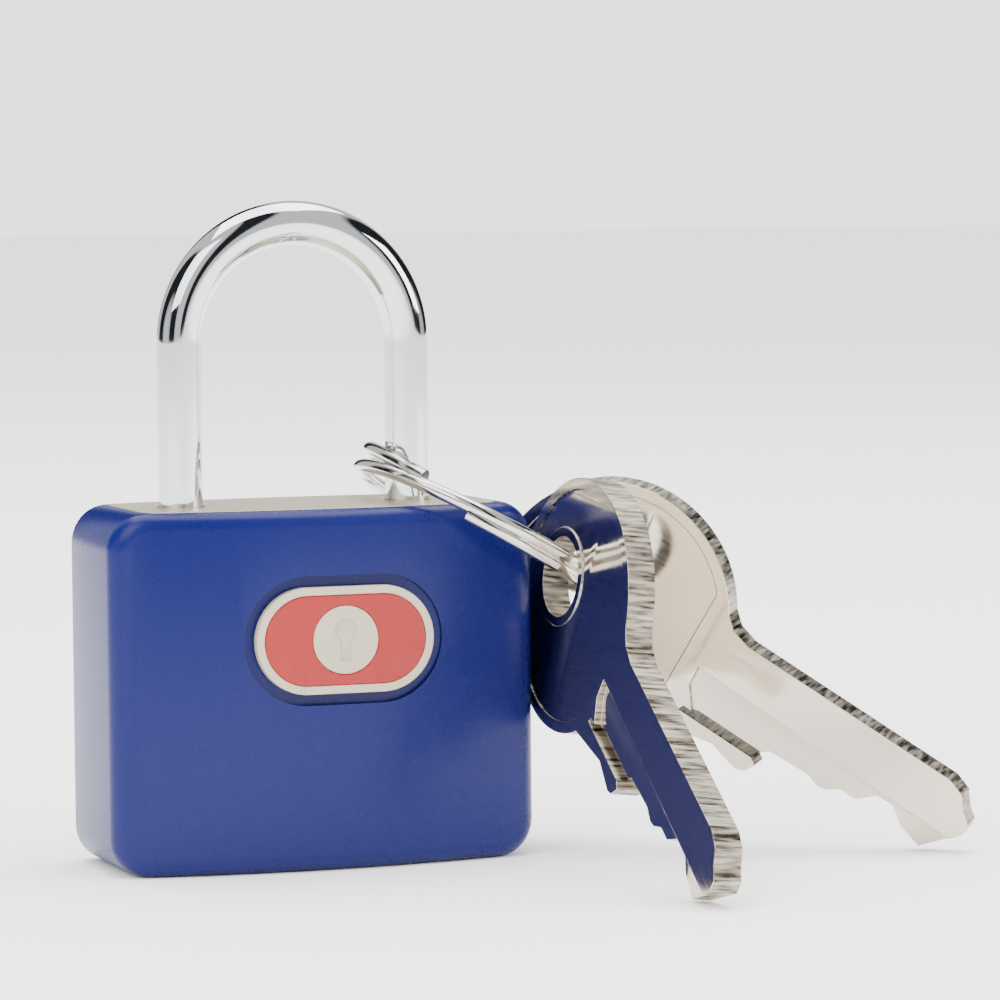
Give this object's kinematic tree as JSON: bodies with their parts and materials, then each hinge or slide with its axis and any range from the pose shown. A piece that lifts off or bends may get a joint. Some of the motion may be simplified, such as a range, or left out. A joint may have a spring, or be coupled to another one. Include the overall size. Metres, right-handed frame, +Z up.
{
  "type": "luggage padlock",
  "caption": "Small keyed luggage padlock with a bowed plastic-covered body, a steel shackle that lifts, and flat keys on a split ring.",
  "frame": {"origin": "centre of the underside of the lock body, on the axis of the plug", "axes": "+X to the right along the body's width, +Y from the badge side to the rear, +Z up along the shackle legs"},
  "size_m": [0.0582, 0.0427, 0.045],
  "materials": {
    "cover_plastic": "glossy royal blue moulded plastic, fine satin texture",
    "top_plate_nickel": "satin nickel plate",
    "cast_zinc": "die-cast zinc, as cast",
    "shackle_chrome": "bright chrome plate",
    "spring_steel": "drawn spring wire",
    "pin_steel": "bright steel pin",
    "plug_brass": "machined brass",
    "badge_metal": "cream lacquer on a pressed plate",
    "badge_red": "glossy red enamel",
    "ring_nickel": "nickel plated spring wire",
    "key_nickel": "nickel plated brass, sheared edges"
  },
  "bodies": {
    "lock_body": {"front_cover": "cover_plastic", "rear_cover": "cover_plastic", "body_block": "cast_zinc", "top_plate": "top_plate_nickel", "shackle_spring": "spring_steel", "shackle_retaining_pin": "pin_steel", "plug_retaining_pin": "pin_steel", "latch_spring": "spring_steel", "badge_frame": "badge_metal", "badge_enamel": "badge_red"},
    "shackle": {"shackle": "shackle_chrome"},
    "plug": {"plug": "plug_brass", "tailpiece_cam": "pin_steel", "wafer_spring_1": "spring_steel", "wafer_spring_2": "spring_steel", "wafer_spring_3": "spring_steel", "wafer_spring_4": "spring_steel", "wafer_spring_5": "spring_steel"},
    "latch": {"latch": "pin_steel"},
    "wafer_1": {"wafer_1": "plug_brass"},
    "wafer_2": {"wafer_2": "plug_brass"},
    "wafer_3": {"wafer_3": "plug_brass"},
    "wafer_4": {"wafer_4": "plug_brass"},
    "wafer_5": {"wafer_5": "plug_brass"},
    "split_ring": {"split_ring": "ring_nickel"},
    "key_front": {"key_front": "key_nickel"},
    "key_back": {"key_back": "key_nickel"}
  },
  "joints": [
    {"name": "shackle_lift", "type": "slide", "parent": "lock_body", "child": "shackle", "axis": [0, 0, 1], "range_m": [0, 0.0066], "deforming": ["shackle_spring"]},
    {"name": "plug_turn", "type": "hinge", "parent": "lock_body", "child": "plug", "pos_m": [0, 0, 0.009], "axis": [0, 0, 1], "range_deg": [0, 90]},
    {"name": "latch_slide", "type": "slide", "parent": "lock_body", "child": "latch", "axis": [-1, 0, 0], "range_m": [0, 0.0012], "deforming": ["latch_spring"]},
    {"name": "wafer_1_slide", "type": "slide", "parent": "plug", "child": "wafer_1", "axis": [1, 0, 0], "range_m": [0, 0.00035], "stiffness_N_per_m": 20, "springref_m": 0.00035, "deforming": ["wafer_spring_1"]},
    {"name": "wafer_2_slide", "type": "slide", "parent": "plug", "child": "wafer_2", "axis": [1, 0, 0], "range_m": [0, 0.00035], "stiffness_N_per_m": 20, "springref_m": 0.00035, "deforming": ["wafer_spring_2"]},
    {"name": "wafer_3_slide", "type": "slide", "parent": "plug", "child": "wafer_3", "axis": [1, 0, 0], "range_m": [0, 0.00035], "stiffness_N_per_m": 20, "springref_m": 0.00035, "deforming": ["wafer_spring_3"]},
    {"name": "wafer_4_slide", "type": "slide", "parent": "plug", "child": "wafer_4", "axis": [1, 0, 0], "range_m": [0, 0.00035], "stiffness_N_per_m": 20, "springref_m": 0.00035, "deforming": ["wafer_spring_4"]},
    {"name": "wafer_5_slide", "type": "slide", "parent": "plug", "child": "wafer_5", "axis": [1, 0, 0], "range_m": [0, 0.00035], "stiffness_N_per_m": 20, "springref_m": 0.00035, "deforming": ["wafer_spring_5"]},
    {"name": "ring_lift", "type": "hinge", "parent": "lock_body", "child": "split_ring", "pos_m": [0.00535, 0.00252, 0.02691], "axis": [-0.291, -0.9483, 0.1266], "range_deg": [0, 65]},
    {"name": "key_front_swing", "type": "hinge", "parent": "split_ring", "child": "key_front", "pos_m": [0.01733, -0.00667, 0.01912], "axis": [-0.9905, -0.0722, 0.1169], "range_deg": [0, 75]},
    {"name": "key_back_swing", "type": "hinge", "parent": "split_ring", "child": "key_back", "pos_m": [0.02067, -0.00003, 0.0186], "axis": [-0.6494, -0.7529, -0.1071], "range_deg": [0, 75]}
  ],
  "couplings": [
    {"joint": "latch_slide", "follows": "plug_turn", "m_per_rad": 0.00076394}
  ]
}
